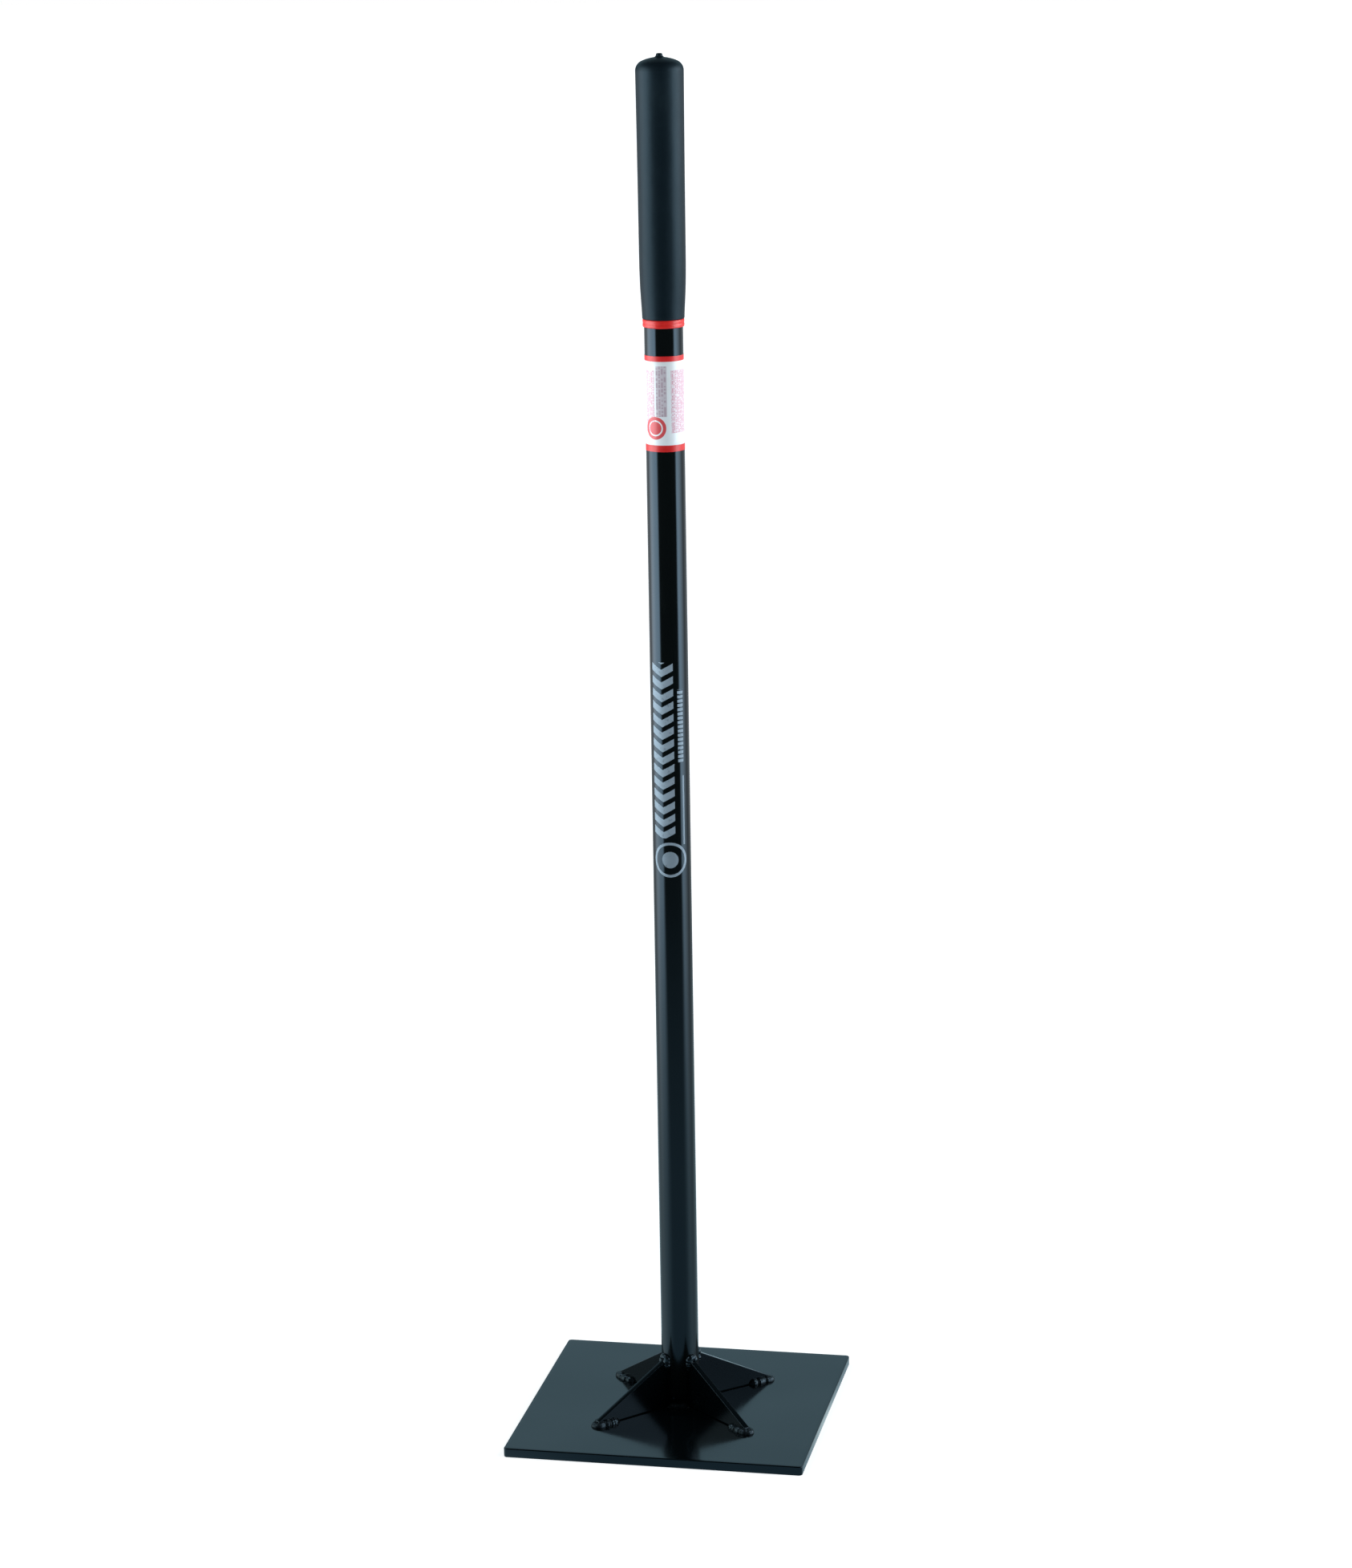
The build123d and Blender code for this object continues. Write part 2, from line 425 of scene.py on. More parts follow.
def shaftPrint(finish, look):
    # a run of plain chevrons, a shorter row of dashes, a thin line, and a ring with a dot
    arc, height = roundTheShaft(finish, tubeRadius)
    soft = look["softEdge"]
    offset = (arc - look["bigMiddle"]).size()
    climbed = (height - offset * look["chevronSlope"]) / look["chevronPitch"]
    stripes = climbed.fraction().within(0.5, look["chevronHalf"], 0.02)
    big = stripes * offset.under(look["bigHalf"], soft) * height.inRun(look["bigRun"], soft)
    dashes = (height / look["dashPitch"]).fraction().within(0.5, look["dashHalf"], 0.04)
    small = dashes * arc.within(look["smallMiddle"], look["smallHalf"], soft)
    small = small * height.inRun(look["smallRun"], soft)
    line = arc.within(look["lineMiddle"], look["lineHalf"], soft) * height.inRun(look["lineRun"], soft)
    reach = reachFrom(arc, height, look)
    ring = reach.within(look["badgeRadius"] - look["ringInset"], look["ringHalf"], soft)
    dot = reach.under(look["dotRadius"], soft)
    return big.most(small).most(line * look["lineInk"]).most(ring).most(dot * look["dotInk"])


def tubePaint(name, look):
    # gloss black on drawn tube: faint draw lines along it, smudges from hands, and the printed mark
    finish = Finish(name)
    smudge = finish.noise(look["smudgeScale"], 4, 0.6)
    draw = finish.noise(1, 3, 0.6, finish.stretched(*look["drawStretch"]))
    scuffs = finish.noise(look["scuffScale"], 5, 0.6, finish.stretched(1, 1, 0.2)).fade(0.62, 0.76)
    whole = finish.noise(look["flakeScale"], 3, 0.6).fade(0.66, 0.60)
    mark = shaftPrint(finish, look) * (whole * look["flakeDepth"] + (1 - look["flakeDepth"]))
    paint = finish.mix(scuffs * 0.3, look["base"], look["worn"])
    base = finish.mix(mark, paint, look["print"])
    bare = smudge * look["cloudRoughness"] + scuffs * 0.05 + look["roughness"]
    roughness = bare * (1 - mark) + mark * look["printRoughness"]
    wave = finish.bump(finish.noise(look["waveScale"], 1, 0.4), look["waveHeight"])
    lines = finish.bump(draw, look["drawHeight"], normal=wave)
    printed = finish.bump(mark, look["printHeight"], normal=lines)
    return finish.close(base, roughness, printed,
                        {"Specular Tint": coolTint, "IOR": 1.5, "Specular IOR Level": look["specular"]})


weldLook = {
    "base": colour(0.0018, 0.0030, 0.0036), "scale": colour(0.012, 0.014, 0.015),
    "scaleGrain": 380, "pitGrain": 900, "pitShare": 0.22, "pitHeight": 0.08 * mm,
    "fineGrain": 1400, "fineHeight": 0.06 * mm, "roughness": 0.14, "specular": 0.5,
}
dullWeldLook = {**weldLook, "roughness": 0.34, "specular": 0.12}


def weldPaint(name, look):
    # paint pooled over ripples: glossy on the crests, duller in the valleys, with small pits and grey scale
    # that shows through
    finish = Finish(name)
    valley = 1 - finish.layer("crest")
    pits = finish.specks(look["pitGrain"], look["pitShare"])
    scale = finish.noise(look["scaleGrain"], 4, 0.65).fade(0.56, 0.72)
    base = finish.mix(scale * 0.5 + valley * 0.25, look["base"], look["scale"])
    roughness = scale * 0.14 + pits * 0.1 + valley * 0.24 + look["roughness"]
    grain = finish.bump(finish.noise(look["fineGrain"], 3, 0.6), look["fineHeight"])
    pitted = finish.bump(1 - pits, look["pitHeight"], normal=grain)
    return finish.close(base, roughness, pitted,
                        {"Specular Tint": coolTint, "IOR": 1.5, "Specular IOR Level": look["specular"]})


gripLook = {
    "base": colour(0.0045, 0.0092, 0.0130), "bloom": colour(0.009, 0.016, 0.021),
    "tint": colour(0.49, 0.80, 1.0), "specular": 0.19, "roughness": 0.36, "cloudRoughness": 0.12,
    "patchScale": 26, "streakStretch": (160, 160, 9), "pebbleScale": 2600, "pebbleHeight": 0.04 * mm,
    "unevenScale": 34, "unevenHeight": 0.5 * mm, "seamEdges": (0.5 * mm, 0.15 * mm), "seamHeight": 0.08 * mm,
}


def gripVinyl(name, look):
    # dipped matt vinyl: fine pebble grain, a pale bloom in soft patches, faint streaks along it, and a thin
    # moulding seam down two sides
    finish = Finish(name)
    patches = finish.noise(look["patchScale"], 4, 0.6)
    bloom = patches.fade(0.48, 0.74)
    grain = finish.noise(look["pebbleScale"], 2, 0.5)
    streaks = finish.noise(1, 3, 0.55, finish.stretched(*look["streakStretch"])).fade(0.5, 0.8)
    seam = finish.parts()[1].size().fade(*look["seamEdges"])
    base = finish.mix(bloom * 0.45 + streaks * 0.2, look["base"], look["bloom"])
    roughness = patches * look["cloudRoughness"] + streaks * 0.05 + look["roughness"]
    uneven = finish.bump(finish.noise(look["unevenScale"], 2, 0.5), look["unevenHeight"])
    pebbled = finish.bump(grain, look["pebbleHeight"], normal=uneven)
    seamed = finish.bump(seam, look["seamHeight"], normal=pebbled)
    return finish.close(base, roughness, seamed,
                        {"Specular Tint": look["tint"], "IOR": 1.45, "Specular IOR Level": look["specular"]})


redLook = {
    "base": colour(0.69, 0.019, 0.015), "deep": colour(0.53, 0.011, 0.009), "roughness": 0.30,
    "toneScale": 130, "rubScale": 240, "grainHeight": 0.02 * mm,
}


def redPlastic(name, look, grainScale):
    # pigmented plastic with a slightly uneven tone, a fine grain and a few dull rubs
    finish = Finish(name)
    tone = finish.noise(look["toneScale"], 4, 0.6)
    rubs = finish.noise(look["rubScale"], 4, 0.65, finish.stretched(1, 1, 0.3)).fade(0.58, 0.74)
    base = finish.mix(tone.fade(0.35, 0.7) * 0.55 + rubs * 0.2, look["base"], look["deep"])
    roughness = tone * 0.08 + rubs * 0.14 + look["roughness"]
    grain = finish.bump(finish.noise(grainScale, 2, 0.5), look["grainHeight"])
    return finish.close(base, roughness, grain, {"IOR": 1.46})


labelLook = {
    "paper": colour(0.78, 0.80, 0.82), "aged": colour(0.73, 0.73, 0.72), "ageScale": 40,
    "red": colour(0.66, 0.075, 0.085), "mauve": colour(0.40, 0.27, 0.33), "pink": colour(0.60, 0.28, 0.36),
    "badgeMiddle": -5.2 * mm, "badgeHeight": 855 * mm, "badgeRadius": 9.3 * mm,
    "badgeRim": 0.15, "badgeDot": 0.58,
    "blockRun": (864.5 * mm, 905.5 * mm), "blockMiddle": 0.4 * mm, "blockHalf": 4.5 * mm,
    "blockPitch": 2.25 * mm, "blockDash": 520, "blockInk": 0.35, "blockWash": 0.5,
    "leftMiddle": -10.2 * mm, "leftHalf": 4.8 * mm, "rightMiddle": 16.8 * mm, "rightHalf": 8.4 * mm,
    "fineRun": (851 * mm, 902 * mm), "finePitch": 1.5 * mm, "fineDash": 900,
    "fineInk": 0.62, "fineWash": 0.30,
    "rubScale": 110, "rippleScale": 90, "rippleHeight": 0.12 * mm, "grainScale": 1800,
    "grainHeight": 0.01 * mm, "roughness": 0.32, "softEdge": 0.12 * mm,
}


def greekedRows(finish, arc, height, rowPitch, dashScale, seed):
    # rows of short unreadable dashes that run up the label: noise along a row, cut to ink or none
    row = (arc / rowPitch).math("FLOOR")
    where = finish.node("ShaderNodeCombineXYZ", inputs={0: height * dashScale, 1: row * 7.31 + seed, 2: 0.0})
    ink = finish.noise(1, 1, 0.5, where).fade(0.44, 0.50)
    return ink * (arc / rowPitch).fraction().within(0.5, 0.34, 0.05)


def labelPrint(finish, look):
    # the colour of the printed film at each place round the shaft: a pink column on either side of a mauve
    # block, each a wash with rows of dashes over it, and a ringed red disc below them
    arc, height = roundTheShaft(finish, tubeRadius)
    soft = look["softEdge"]
    yellowing = finish.noise(look["ageScale"], 4, 0.6).fade(0.45, 0.75)
    base = finish.mix(yellowing * 0.5, look["paper"], look["aged"])
    fine = greekedRows(finish, arc, height, look["finePitch"], look["fineDash"], 3.7)
    left = arc.within(look["leftMiddle"], look["leftHalf"], soft)
    right = arc.within(look["rightMiddle"], look["rightHalf"], soft)
    columns = left.most(right) * height.inRun(look["fineRun"], soft)
    base = finish.mix((fine * look["fineInk"] + look["fineWash"]) * columns, base, look["pink"])
    rows = greekedRows(finish, arc, height, look["blockPitch"], look["blockDash"], 11.3)
    block = arc.within(look["blockMiddle"], look["blockHalf"], soft) * height.inRun(look["blockRun"], soft)
    base = finish.mix(block * (rows * look["blockInk"] + look["blockWash"]), base, look["mauve"])
    reach = reachFrom(arc, height, look)
    outer, rim = look["badgeRadius"], look["badgeRim"]
    ring = reach.within(outer * (1 - rim), outer * rim, soft)
    dot = reach.under(outer * look["badgeDot"], soft)
    return finish.mix(ring.most(dot), base, look["red"])


def labelFilm(name, look):
    # printed film under a satin laminate: handling creases, a faint ripple from the tube and a soft sheen
    finish = Finish(name)
    base = labelPrint(finish, look)
    rubs = finish.noise(look["rubScale"], 5, 0.6, finish.stretched(1, 1, 0.25)).fade(0.56, 0.72)
    roughness = rubs * 0.12 + look["roughness"]
    waves = finish.noise(look["rippleScale"], 2, 0.5, finish.stretched(1, 1, 0.4))
    ripple = finish.bump(waves, look["rippleHeight"])
    grain = finish.bump(finish.noise(look["grainScale"], 2, 0.5), look["grainHeight"], normal=ripple)
    return finish.close(base, roughness, grain, {"IOR": 1.46})


blackPaint = platePaint("blackPaint", paintLook)
tubeGloss = tubePaint("tubeGloss", tubeLook)
paintedWeld = weldPaint("paintedWeld", weldLook)
footWeldPaint = weldPaint("footWeldPaint", dullWeldLook)
blackVinyl = gripVinyl("blackVinyl", gripLook)
redCollar = redPlastic("redCollar", redLook, 1500)
redBand = redPlastic("redBand", {**redLook, "base": colour(0.66, 0.02, 0.022)}, 2200)
printedFilm = labelFilm("printedFilm", labelLook)
print("finishes made")


# ---- base plate

plateShape = {"cornerRadius": 3.2 * mm, "edgeRadius": 0.9 * mm, "arcSteps": 10, "edgeSteps": 24}


def makePlate(shape):
    # a square slab that fills the CAD plate's box, with rounded corners and broken edges
    corners = [(plateLow.x, plateLow.y), (plateHigh.x, plateLow.y),
               (plateHigh.x, plateHigh.y), (plateLow.x, plateHigh.y)]
    outline, normals = roundedPolygon(corners, shape["cornerRadius"], shape["arcSteps"], shape["edgeSteps"])
    piece = slab("rammingPlate", outline, normals, plateLow.z, plateHigh.z, shape["edgeRadius"], np.eye(3))
    return keep(piece, blackPaint, "black_powder_coat", "base_plate")


makePlate(plateShape)
print("plate made")


# ---- shaft

shaftShape = {"wall": 2.0 * mm, "segments": 192, "rows": 90, "rim": 0.3 * mm}


def makeShaft(shape):
    # the outer wall from the plate up, over the rim, down the inner wall and back to the start
    inner = tubeRadius - shape["wall"]
    rim = shape["rim"]
    upward = np.linspace(tubeLow.z, tubeHigh.z - rim, shape["rows"])
    radius = np.concatenate([np.full(len(upward), tubeRadius), [tubeRadius - rim, inner + rim],
                             np.full(len(upward), inner)])
    height = np.concatenate([upward, [tubeHigh.z, tubeHigh.z], upward[::-1]])
    piece = lathe("shaftTube", radius, height, shape["segments"], wrapRows=True)
    return keep(piece, tubeGloss, "black_gloss_tube", "handle_tube")


makeShaft(shaftShape)
print("shaft made")


# ---- gussets

gussetShape = {
    "thickness": 5.0 * mm, "noseHeight": 4.2 * mm, "cornerRadius": 1.1 * mm, "edgeRadius": 0.28 * mm,
    "sunkInTube": 1.0 * mm, "footGap": 0.7 * mm, "arcSteps": 7, "edgeSteps": 14,
}


def gussetAxes(bearing):
    # outwards, up, and across the gusset
    outwards = np.array([math.cos(bearing), math.sin(bearing), 0.0])
    up = np.array([0.0, 0.0, 1.0])
    return outwards, up, np.cross(outwards, up)


def makeGusset(name, place, shape):
    # a triangle with a blunt nose, standing on a thin gap over the plate and sunk a little into the tube
    inner = tubeRadius - shape["sunkInTube"]
    foot = plateTop + shape["footGap"]
    corners = [(inner, foot), (place["reach"], foot), (place["reach"], plateTop + shape["noseHeight"]),
               (tubeRadius, place["top"]), (inner, place["top"])]
    outline, normals = roundedPolygon(corners, shape["cornerRadius"], shape["arcSteps"], shape["edgeSteps"])
    half = shape["thickness"] / 2
    piece = slab("gusset." + name, outline, normals, -half, half, shape["edgeRadius"],
                 gussetAxes(place["bearing"]), edgeRows=5)
    return keep(piece, blackPaint, "black_powder_coat", "gusset_" + name)


for gussetName, gussetSpot in gussetPlaces.items():
    makeGusset(gussetName, gussetSpot, gussetShape)
print("gussets made")


# ---- weld beads

tipBeadLook = {
    "radius": 4.9 * mm, "length": 21 * mm, "overrun": 2.2 * mm, "dip": 0.30, "dipLength": 5 * mm,
    "lumpPitch": 8.0 * mm, "lump": 0.20, "ribPitch": 2.3 * mm, "rib": 0.028, "lean": 0.35, "swell": 0.10,
    "stray": 0.3 * mm, "endLength": 7 * mm, "step": 0.3 * mm, "segments": 44,
}
topBeadLook = {
    "radius": 3.4 * mm, "drop": 10 * mm, "overrun": 1.4 * mm, "dip": 0.0, "dipLength": 5 * mm,
    "lumpPitch": 6.0 * mm, "lump": 0.15, "ribPitch": 2.0 * mm, "rib": 0.03, "lean": 0.3, "swell": 0.10,
    "stray": 0.2 * mm, "endLength": 5 * mm, "step": 0.3 * mm, "segments": 36,
}
footBeadLook = {
    "radius": 4.0 * mm, "gap": 3.2 * mm, "arcPoints": 60, "dip": 0.0, "dipLength": 5 * mm,
    "lumpPitch": 7.0 * mm, "lump": 0.05, "ribPitch": 2.0 * mm, "rib": 0.03, "lean": 0.4, "swell": 0.06,
    "stray": 0.2 * mm, "endLength": 4 * mm, "step": 0.35 * mm, "segments": 36,
}


def hairpin(length, halfWidth, overrun):
    # down one side, round the end by a half ellipse, and back up the other side, from (-length, -halfWidth)
    angle = np.linspace(-math.pi / 2, math.pi / 2, 25)
    bend = np.stack([overrun * np.cos(angle), halfWidth * np.sin(angle)], axis=-1)
    ends = np.array([[-length, -halfWidth], [-length, halfWidth]])
    return np.concatenate([ends[:1], bend, ends[1:]])


def makeTipBead(name, place, look, seed):
    # lies in the corner between the plate and the gusset, round the nose
    outwards, up, across = gussetAxes(place["bearing"])
    turn = hairpin(look["length"], gussetShape["thickness"] / 2, look["overrun"])
    path = (place["reach"] + turn[:, :1]) * outwards + turn[:, 1:] * across + plateTop * up
    piece = bead("tipBead." + name, path, up, look, seed)
    return keep(piece, paintedWeld, "painted_weld", "tip_weld_" + name)


def makeTopBead(name, place, look, seed):
    # lies in the corner between the tube and the gusset, over the gusset's top
    outwards, up, across = gussetAxes(place["bearing"])
    turn = hairpin(look["drop"], gussetShape["thickness"] / 2, look["overrun"])
    path = tubeRadius * outwards + turn[:, 1:] * across + (place["top"] + turn[:, :1]) * up
    piece = bead("topBead." + name, path, outwards, look, seed)
    return keep(piece, paintedWeld, "painted_weld", "top_weld_" + name)


def makeFootBead(side, fromBearing, toBearing, look, seed):
    # an arc round the foot of the tube, from one gusset's side to the next one's
    gap = look["gap"] / tubeRadius
    angle = np.linspace(fromBearing + gap, toBearing - gap, look["arcPoints"])
    level = np.full(look["arcPoints"], plateTop)
    path = np.stack([tubeRadius * np.cos(angle), tubeRadius * np.sin(angle), level], axis=-1)
    piece = bead("footBead." + side, path, np.array([0.0, 0.0, 1.0]), look, seed)
    return keep(piece, footWeldPaint, "painted_weld", "foot_weld_" + side)


for order, (gussetName, gussetSpot) in enumerate(gussetPlaces.items()):
    makeTipBead(gussetName, gussetSpot, tipBeadLook, 20 + 5 * order)
    makeTopBead(gussetName, gussetSpot, topBeadLook, 60 + 5 * order)

for order, side in enumerate(("front", "right", "back", "left")):
    start = gussetPlaces[gussetNames[order]]["bearing"]
    end = gussetPlaces[gussetNames[(order + 1) % 4]]["bearing"]
    makeFootBead(side, start, start + (end - start) % fullTurn, footBeadLook, 100 + 5 * order)
print("welds made")


# ---- grip

gripShape = {
    "barrel": 18.95 * mm, "swellFrom": 57 * mm, "swell": 0.55 * mm, "lipDrop": 1.75 * mm,
    "flareLength": 22 * mm, "lipRound": 0.8 * mm, "mouthDepth": 4 * mm,
    "shoulderStart": 198.1 * mm, "shoulderRadius": 8.5 * mm, "shoulderTurn": math.radians(66),
    "nippleRadius": 2.7 * mm, "nippleFoot": 2.8 * mm, "nippleRound": 1.2 * mm, "nippleRise": 0.7,
    "nippleTip": 0.3, "segments": 160,
}


def barrelRadius(rise, shape):
    # the plain barrel, less a drop towards the lip that dies away as exp(-(h/L)^1.6), plus a swell that
    # grows as the 1.6th power of the height above the flare
    drop = shape["lipDrop"] * np.exp(-(rise / shape["flareLength"]) ** 1.6)
    share = np.clip((rise - shape["swellFrom"]) / (shape["shoulderStart"] - shape["swellFrom"]), 0, 1)
    return shape["barrel"] - drop + shape["swell"] * share ** 1.6


def makeGrip(shape):
    # down the bore's mouth, out over the rounded lip, up the barrel, round the shoulder, over the crown,
    # which is part of a sphere that leaves the shoulder without a crease, and over the nipple
    quarter = np.linspace(0, math.pi / 2, 7)
    lip = barrelRadius(shape["lipRound"], shape)
    rounding = shape["lipRound"]
    mouthRadius = [tubeRadius, tubeRadius]
    mouthHeight = [shape["mouthDepth"], 0.0]
    lipRadius = lip - rounding + rounding * np.sin(quarter)
    lipHeight = rounding - rounding * np.cos(quarter)
    rise = np.linspace(rounding, shape["shoulderStart"], 90)[1:]
    top = barrelRadius(rise[-1], shape)
    angle = np.linspace(0, shape["shoulderTurn"], 18)[1:]
    shoulderRadius = top - shape["shoulderRadius"] * (1 - np.cos(angle))
    shoulderHeight = shape["shoulderStart"] + shape["shoulderRadius"] * np.sin(angle)
    slope = math.pi / 2 - shape["shoulderTurn"]
    crown = shoulderRadius[-1] / math.sin(slope)
    stem = shape["nippleRadius"] + shape["nippleFoot"]
    fall = np.linspace(slope, math.asin(stem / crown), 14)[1:]
    crownRadius = crown * np.sin(fall)
    crownHeight = shoulderHeight[-1] + crown * (np.cos(fall) - math.cos(slope))
    tip = gripHigh.z - gripLow.z
    footRadius = stem - shape["nippleFoot"] * np.sin(quarter)
    footHeight = crownHeight[-1] + shape["nippleFoot"] * (1 - np.cos(quarter)) * shape["nippleRise"]
    capRadius = shape["nippleRadius"] - shape["nippleRound"] * (1 - np.cos(quarter))
    capHeight = tip - shape["nippleRound"] * (1 - np.sin(quarter))
    radius = np.concatenate([mouthRadius, lipRadius, barrelRadius(rise, shape), shoulderRadius, crownRadius,
                             footRadius, capRadius, [shape["nippleRadius"] * shape["nippleTip"]]])
    height = np.concatenate([mouthHeight, lipHeight, rise, shoulderHeight, crownHeight,
                             footHeight, capHeight, [tip]])
    piece = lathe("handGrip", radius, gripLow.z + height, shape["segments"], poles=(True, True))
    return keep(piece, blackVinyl, "grip_vinyl", "hand_grip")


makeGrip(gripShape)
print("grip made")


# ---- collar ring and wrapped label

collarShape = {"round": 1.0 * mm, "groove": 0.18 * mm, "grooveWidth": 0.6 * mm, "segments": 160}


def makeCollar(shape):
    # a band with rounded outer edges, closed along the tube; the groove round its middle is as deep as
    # exp(-(h/w)^2) times its full depth, h being the height from the middle
    outer = (collarHigh.x - collarLow.x) / 2
    quarter = np.linspace(0, math.pi / 2, 8)
    rounding = shape["round"]
    low, high = collarLow.z, collarHigh.z
    flank = np.linspace(low + rounding, high - rounding, 13)[1:-1]
    middle = (low + high) / 2
    groove = shape["groove"] * np.exp(-((flank - middle) / shape["grooveWidth"]) ** 2)
    radius = np.concatenate([[tubeRadius], outer - rounding + rounding * np.sin(quarter), outer - groove,
                             outer - rounding + rounding * np.cos(quarter), [tubeRadius]])
    height = np.concatenate([[low], low + rounding - rounding * np.cos(quarter), flank,
                             high - rounding + rounding * np.sin(quarter), [high]])
    piece = lathe("collarRing", radius, height, shape["segments"], wrapRows=True)
    return keep(piece, redCollar, "red_collar", "collar_ring")


filmShape = {
    "thickness": 0.14 * mm, "edge": 0.05 * mm, "seamAt": math.radians(98), "overlap": math.radians(24),
    "climbFrom": 1.5, "climbOver": 0.5, "segments": 240,
}


def makeFilm(name, node, material, slotName, shape):
    # film wrapped once round the tube; over the overlap's angle its own thickness is added, with a steep
    # step at the film's end and a slow one where it climbs over its start
    low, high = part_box(node)
    angle = np.arange(shape["segments"]) / shape["segments"] * fullTurn
    past = (angle - shape["seamAt"]) % fullTurn
    climbStart = fullTurn - shape["overlap"] * shape["climbFrom"]
    climb = np.clip((past - climbStart) / (shape["overlap"] * shape["climbOver"]), 0, 1)
    lifted = shape["thickness"] * climb * climb * (3 - 2 * climb)
    edge = shape["edge"]
    rows = np.linspace(low.z + edge, high.z - edge, 20)
    height = np.concatenate([[low.z, low.z], rows, [high.z, high.z]])
    level = np.concatenate([[0.0, shape["thickness"] - edge], np.full(len(rows), shape["thickness"]),
                            [shape["thickness"] - edge, 0.0]])
    share = np.minimum(level / (shape["thickness"] - edge), 1)
    radius = tubeRadius + level[:, None] + lifted[None] * share[:, None]
    piece = lathe(name, radius, height, shape["segments"], wrapRows=True)
    return keep(piece, material, slotName, node)


makeCollar(collarShape)
makeFilm("wrappedLabel", "label_wrap", printedFilm, "label_film", filmShape)
makeFilm("lowerBand", "label_band_lower", redBand, "label_red", filmShape)
makeFilm("upperBand", "label_band_upper", redBand, "label_red", filmShape)
print("collar and label made")


# ---- studio

studio = {
    "azimuth": 11.395, "elevation": 13.785, "roll": -0.9085, "distance": 3.5210,
    "aim": (4.213 * mm, 554.620 * mm), "lens": 97.363, "sensor": 36.0,
    "boxDistance": 0.9, "boxHeight": 0.7, "boxMiddle": 1.30, "boxColour": (0.93, 0.99, 1.03),
    "leftBox": {"angle": -77.5, "width": 0.86, "power": 7.2},
    "rightBox": {"angle": 82.5, "width": 0.74, "power": 6.8},
    # the walls: glows, then the directions between which each one fades in
    "backGlow": (0.355, 0.555, 0.640), "frontGlow": (0.035, 0.045, 0.05),
    "leftGlow": (1.25, 1.45, 1.40), "rightGlow": (3.0, 3.3, 3.5),
    "backTurn": (0.45, -0.35), "backTop": (0.66, 0.48), "backFoot": (0.10, 0.28),
    "sideTurn": (0.72, 0.92), "sideTop": (0.60, 0.40), "sideSwap": 0.1,
    # the floor: what it glows with by distance, then the bearings between which it is lit, left and right
    "floorSize": 40.0, "floorRun": (0.2, 2.2), "sideRun": (0.3, 3.0),
    "nearGlow": (0.95, 1.20, 1.27), "farGlow": (5.7, 6.1, 6.5),
    "nearFront": (0.36, 0.52, 0.60), "farFront": (0.06, 0.07, 0.07),
    "edges": (52.0, 61.0), "nearSoft": 24.0, "farSoft": 6.0, "floorSwap": 20.0,
    "backFrom": (90.0, 66.0), "backTo": (130.0, 114.0), "backShare": (0.10, 0.10),
    "floorTone": 0.8, "shadeRun": (0.4, 1.5), "shade": 0.75,
}


def aimCamera(look):
    # azimuth turns round the shaft from -Y towards +X, elevation rises, roll turns about the line of sight
    azimuth, elevation, roll = (math.radians(look[key]) for key in ("azimuth", "elevation", "roll"))
    back = Vector((math.sin(azimuth) * math.cos(elevation), -math.cos(azimuth) * math.cos(elevation),
                   math.sin(elevation)))
    right = Vector((math.cos(azimuth), math.sin(azimuth), 0))
    up = back.cross(right)
    target = right * look["aim"][0] + Vector((0, 0, look["aim"][1]))
    lens = bpy.data.cameras.new("camera")
    lens.lens = look["lens"]
    lens.sensor_width = look["sensor"]
    lens.sensor_fit = "AUTO"
    lens.clip_end = 200
    camera = bpy.data.objects.new("camera", lens)
    rolledRight = right * math.cos(roll) + up * math.sin(roll)
    rolledUp = up * math.cos(roll) - right * math.sin(roll)
    turned = Matrix((rolledRight, rolledUp, back)).transposed().to_4x4()
    camera.matrix_world = Matrix.Translation(target + back * look["distance"]) @ turned
    bpy.context.scene.collection.objects.link(camera)
    bpy.context.scene.camera = camera


def placeSoftbox(name, look, side):
    # a tall soft light beside the object, facing the shaft
    bearing = math.radians(look["azimuth"] + side["angle"])
    lamp = bpy.data.lights.new(name, "AREA")
    lamp.shape = "RECTANGLE"
    lamp.size, lamp.size_y = side["width"], look["boxHeight"]
    lamp.energy = side["power"]
    lamp.color = look["boxColour"]
    box = bpy.data.objects.new(name, lamp)
    spot = Vector((math.sin(bearing), -math.cos(bearing), 0)) * look["boxDistance"]
    spot.z = look["boxMiddle"]
    facing = Vector((spot.x, spot.y, 0)).to_track_quat("Z", "Y")
    box.matrix_world = Matrix.Translation(spot) @ facing.to_matrix().to_4x4()
    box.visible_camera = False
    bpy.context.scene.collection.objects.link(box)


class Studio(Finish):                    # the world's nodes, made the same way as a material's
    def __init__(self, world):
        world.use_nodes = True
        self.tree = world.node_tree
        self.tree.nodes.clear()
        self.place = self.node("ShaderNodeTexCoord", out="Generated")


def cameraWise(x, y, look):
    # how far a place or direction points towards the camera, and how far to the camera's right
    azimuth = math.radians(look["azimuth"])
    towards = x * math.sin(azimuth) - y * math.cos(azimuth)
    aside = x * math.cos(azimuth) + y * math.sin(azimuth)
    return towards, aside


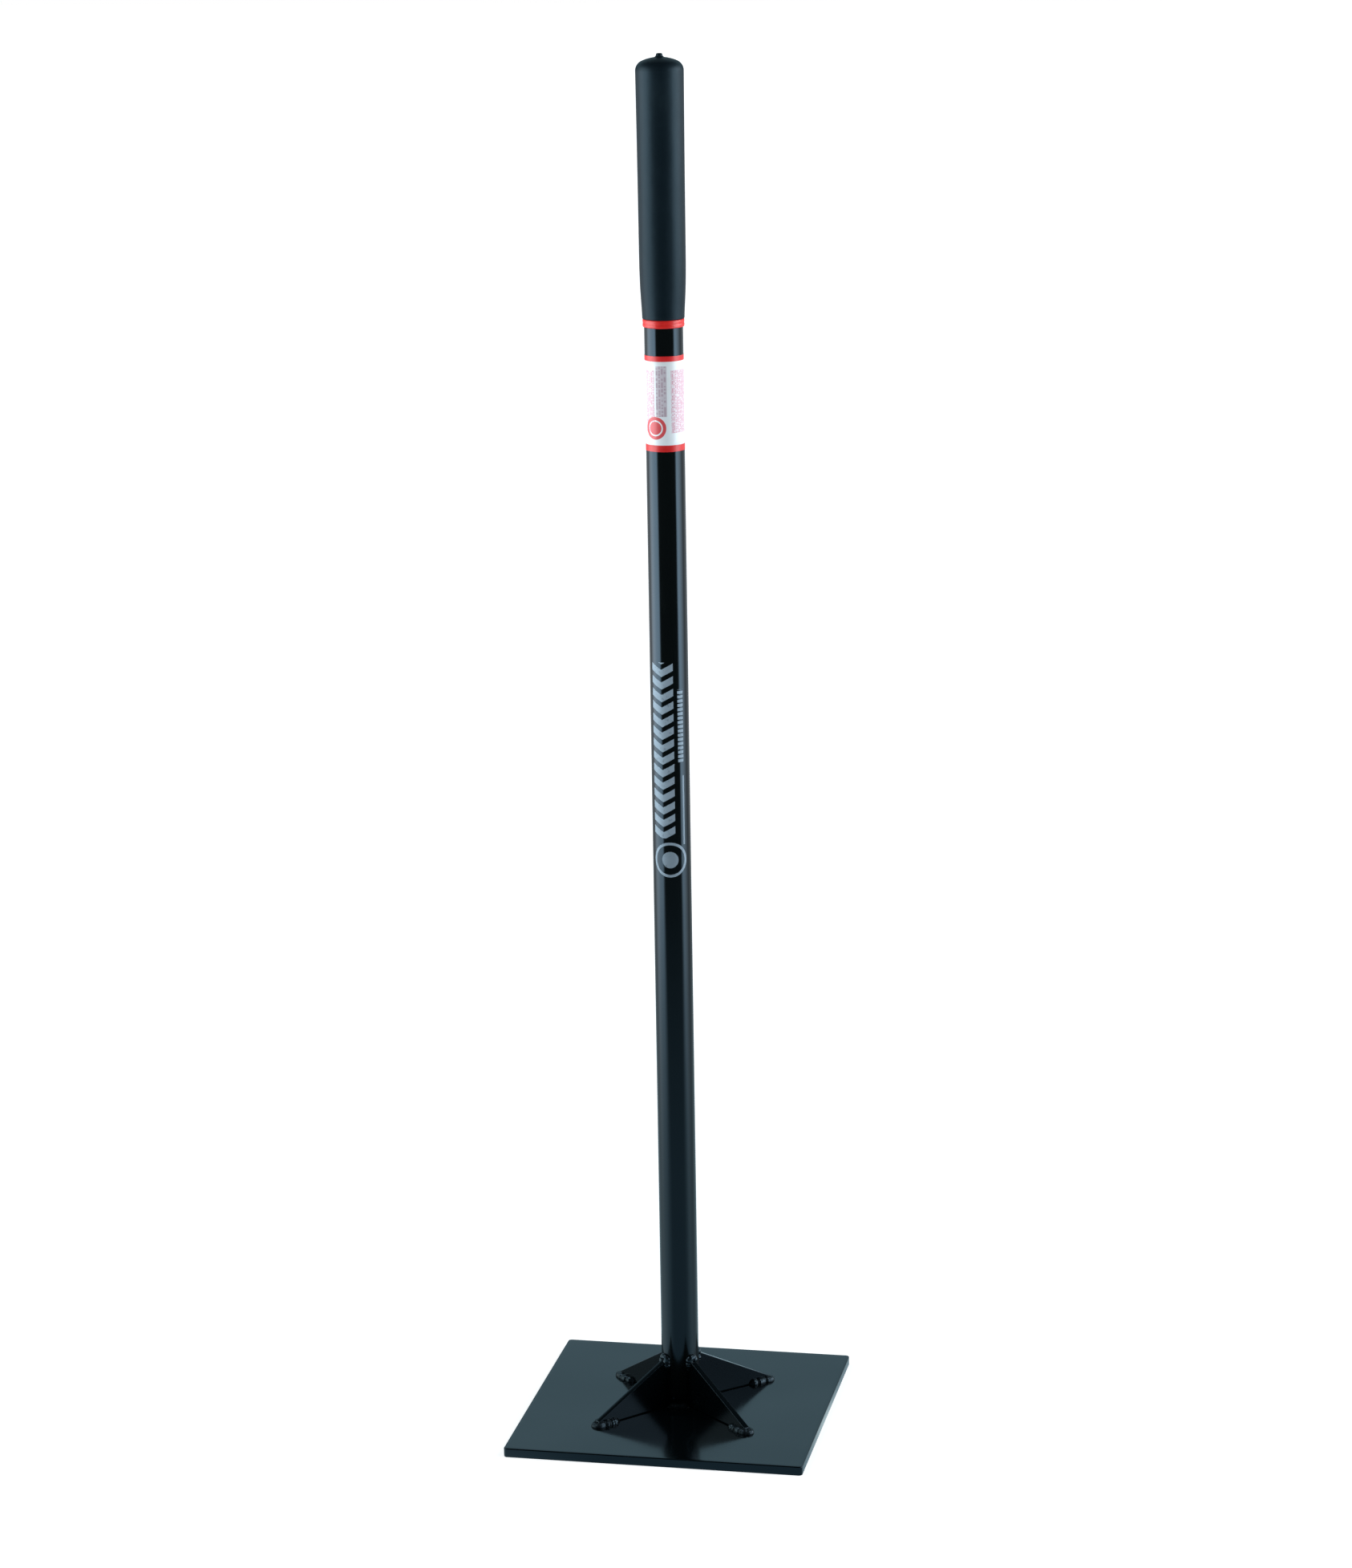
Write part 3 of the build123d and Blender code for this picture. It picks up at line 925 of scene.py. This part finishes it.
def lightWorld(look):
    # white to the eye; to everything else, dark in front and overhead, a cool grey wall behind, and brighter
    # walls at the sides
    world = bpy.data.worlds.new("studio")
    bpy.context.scene.world = world
    sky = Studio(world)
    x, y, z = sky.parts()
    towards, aside = cameraWise(x, y, look)
    wall = towards.fade(*look["backTurn"]) * z.fade(*look["backTop"]) * z.fade(*look["backFoot"])
    glow = sky.mix(wall, colour(*look["frontGlow"]), colour(*look["backGlow"]))
    rightward = aside.fade(-look["sideSwap"], look["sideSwap"])
    sides = sky.mix(rightward, colour(*look["leftGlow"]), colour(*look["rightGlow"]))
    glow = sky.mix(aside.size().fade(*look["sideTurn"]) * z.fade(*look["sideTop"]), glow, sides)
    seen = sky.node("ShaderNodeLightPath", out="Is Camera Ray")
    shown = sky.mix(seen, glow, colour(1, 1, 1))
    light = sky.node("ShaderNodeBackground", inputs={"Color": shown})
    sky.node("ShaderNodeOutputWorld", inputs={"Surface": light}, out=None)


def layFloor(look):
    # a pale floor. The eye sees white that darkens only right under the object. What the object mirrors of
    # it goes by bearing, counted from the camera: dim in front, bright at the sides, dim again behind. The
    # sides grow brighter with the distance from the object and the front grows dimmer
    half = look["floorSize"] / 2
    mesh = bpy.data.meshes.new("floor")
    corners = [(-half, -half, 0), (half, -half, 0), (half, half, 0), (-half, half, 0)]
    mesh.from_pydata(corners, [], [(0, 1, 2, 3)])
    floor = bpy.data.objects.new("floor", mesh)
    bpy.context.scene.collection.objects.link(floor)
    finish = Finish("floor")
    x, y = finish.parts()[:2]
    reach = (x * x + y * y).math("SQRT")
    towards, aside = cameraWise(x, y, look)
    bearing = aside.math("ARCTAN2", towards) * math.degrees(1)
    turned = bearing.size()
    far = reach.fade(*look["floorRun"])
    rightward = bearing.fade(-look["floorSwap"], look["floorSwap"])
    edge, backFrom, backTo, backShare = (rightward * (look[key][1] - look[key][0]) + look[key][0]
                                         for key in ("edges", "backFrom", "backTo", "backShare"))
    soft = far * (look["farSoft"] - look["nearSoft"]) + look["nearSoft"]
    lit = ((turned - edge) / soft).fade(-1, 1)
    kept = 1 - ((turned - backFrom) / (backTo - backFrom)).fade(0, 1) * (1 - backShare)
    sideFar = reach.fade(*look["sideRun"])
    side = finish.mix(sideFar, colour(*look["nearGlow"]), colour(*look["farGlow"]))
    front = finish.mix(far, colour(*look["nearFront"]), colour(*look["farFront"]))
    mirrored = finish.node("ShaderNodeEmission", inputs={"Color": finish.mix(lit * kept, front, side)})
    matt = finish.node("ShaderNodeBsdfDiffuse", inputs={"Color": colour(*[look["floorTone"]] * 3)})
    whiteness = reach.fade(*look["shadeRun"]) * (1 - look["shade"]) + look["shade"]
    white = finish.node("ShaderNodeEmission", inputs={"Strength": whiteness})
    plain = finish.node("ShaderNodeAddShader", inputs={0: matt, 1: white})
    seen = finish.node("ShaderNodeLightPath", out="Is Camera Ray")
    both = finish.node("ShaderNodeMixShader", inputs={0: seen, 1: mirrored, 2: plain})
    finish.node("ShaderNodeOutputMaterial", inputs={"Surface": both}, out=None)
    mesh.materials.append(finish.material)


aimCamera(studio)
placeSoftbox("leftSoftbox", studio, studio["leftBox"])
placeSoftbox("rightSoftbox", studio, studio["rightBox"])
lightWorld(studio)
layFloor(studio)
bpy.context.scene.view_settings.view_transform = "Standard"
print("studio lit")
